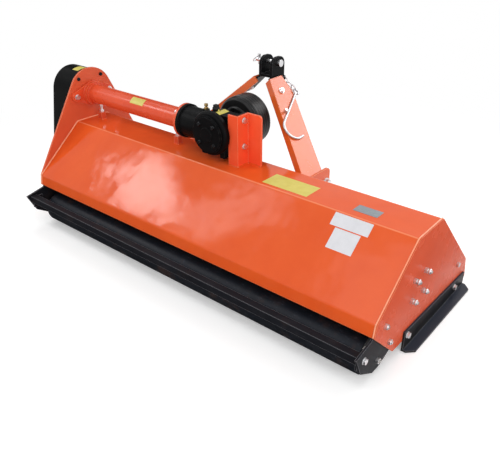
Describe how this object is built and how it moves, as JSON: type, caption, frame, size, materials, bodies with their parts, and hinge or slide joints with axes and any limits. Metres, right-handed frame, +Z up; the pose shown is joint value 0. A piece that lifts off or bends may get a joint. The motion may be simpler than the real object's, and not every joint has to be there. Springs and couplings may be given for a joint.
{
  "type": "tractor flail mower",
  "caption": "Rear-mounted tractor flail mower: folded orange hood, hammer rotor, rear roller, offset belt drive with bevel gearbox, and a three-point hitch mast.",
  "frame": {"origin": "on the ground under the crossing of the gearbox's two shafts, which is the middle of the base of the bounding box", "axes": "+X to the right seen from behind, along the rotor; +Y forward, towards the tractor; +Z up"},
  "size_m": [1.99, 0.884, 0.803],
  "materials": {
    "orange_enamel": "glossy enamel",
    "black_enamel": "semi-gloss enamel, lightly scuffed",
    "black_casting": "satin paint on a sand casting",
    "zinc_steel": "bright zinc plate",
    "bare_steel": "machined or forged steel",
    "brass": "turned brass",
    "black_rubber": "matt rubber",
    "black_plastic": "satin moulding"
  },
  "bodies": {
    "deck": {"hood": "orange_enamel", "right_side_plate": "orange_enamel", "left_side_plate": "orange_enamel", "skid_right": "black_enamel", "skid_left": "black_enamel", "roller_bracket_right": "black_enamel", "roller_bracket_left": "black_enamel", "roller_axles": "bare_steel", "rear_tie_bar": "black_enamel", "rotor_bearing_right": "black_casting", "rotor_bearing_left": "black_casting", "side_bolts": "zinc_steel", "front_flap_rod": "zinc_steel", "drive_tube": "orange_enamel", "tube_bearing": "bare_steel", "drive_belts": "black_rubber", "belt_guard": "black_enamel", "guard_bolts": "zinc_steel", "gearbox_housing": "black_casting", "gearbox_rear_cover": "black_casting", "gearbox_screws": "zinc_steel", "filler_plug": "bare_steel", "breather": "brass", "gearbox_bearings": "bare_steel", "gearbox_bracket": "orange_enamel", "frame_bolts": "zinc_steel", "adjuster_posts": "orange_enamel", "adjuster_screws": "zinc_steel", "pto_shield": "black_plastic", "lower_hitch_right": "orange_enamel", "lower_hitch_left": "orange_enamel", "lower_link_pins": "zinc_steel", "mast_leg_right": "orange_enamel", "mast_leg_left": "orange_enamel", "top_clevis": "black_enamel", "top_link_pin": "zinc_steel", "top_linchpin": "zinc_steel", "hook_peg": "zinc_steel"},
    "rotor": {"rotor_tube": "black_enamel", "rotor_stubs": "bare_steel", "hammer_bolts": "zinc_steel", "lower_pulley": "bare_steel"},
    "hammers_1": {"hammer_row_1": "bare_steel"},
    "hammers_2": {"hammer_row_2": "bare_steel"},
    "hammers_3": {"hammer_row_3": "bare_steel"},
    "hammers_4": {"hammer_row_4": "bare_steel"},
    "drive": {"drive_shaft": "bare_steel", "shaft_coupling": "bare_steel", "pinion_shaft": "bare_steel", "upper_pulley": "bare_steel"},
    "pto_input": {"input_shaft": "bare_steel", "crown_gear": "bare_steel"},
    "roller": {"rear_roller": "black_enamel", "roller_bearings": "bare_steel"},
    "flaps": {"front_flaps": "black_rubber"},
    "hook": {"pto_hook": "zinc_steel", "hook_chain": "zinc_steel"},
    "snap_ring": {"linchpin_ring": "zinc_steel"}
  },
  "joints": [
    {"name": "rotor_spin", "type": "hinge", "parent": "deck", "child": "rotor", "pos_m": [0, -0.06, 0.244], "axis": [1, 0, 0], "continuous": true},
    {"name": "hammer_swing_1", "type": "hinge", "parent": "rotor", "child": "hammers_1", "pos_m": [0, -0.00485, 0.29915], "axis": [1, 0, 0], "range_deg": [0, 180]},
    {"name": "hammer_swing_2", "type": "hinge", "parent": "rotor", "child": "hammers_2", "pos_m": [0, -0.11515, 0.29915], "axis": [1, 0, 0], "range_deg": [-180, 0]},
    {"name": "hammer_swing_3", "type": "hinge", "parent": "rotor", "child": "hammers_3", "pos_m": [0, -0.11515, 0.18885], "axis": [1, 0, 0], "range_deg": [-135, 45]},
    {"name": "hammer_swing_4", "type": "hinge", "parent": "rotor", "child": "hammers_4", "pos_m": [0, -0.00485, 0.18885], "axis": [1, 0, 0], "range_deg": [-45, 135]},
    {"name": "drive_spin", "type": "hinge", "parent": "deck", "child": "drive", "pos_m": [0, 0, 0.564], "axis": [1, 0, 0], "continuous": true},
    {"name": "input_spin", "type": "hinge", "parent": "deck", "child": "pto_input", "pos_m": [0, 0, 0.564], "axis": [0, 1, 0], "continuous": true},
    {"name": "roller_spin", "type": "hinge", "parent": "deck", "child": "roller", "pos_m": [0, -0.297, 0.0705], "axis": [1, 0, 0], "continuous": true},
    {"name": "flap_swing", "type": "hinge", "parent": "deck", "child": "flaps", "pos_m": [0, 0.315, 0.142], "axis": [1, 0, 0], "range_deg": [-80, 15]},
    {"name": "hook_swing", "type": "hinge", "parent": "deck", "child": "hook", "pos_m": [0.04582, 0.378, 0.7026], "axis": [0, -1, 0], "range_deg": [0, 60]},
    {"name": "ring_flip", "type": "hinge", "parent": "deck", "child": "snap_ring", "pos_m": [-0.072, 0.347, 0.792], "axis": [0, 1, 0], "range_deg": [0, 130]}
  ],
  "couplings": [
    {"joint": "drive_spin", "follows": "rotor_spin", "ratio": 0.78947},
    {"joint": "input_spin", "follows": "rotor_spin", "ratio": -0.26316}
  ]
}
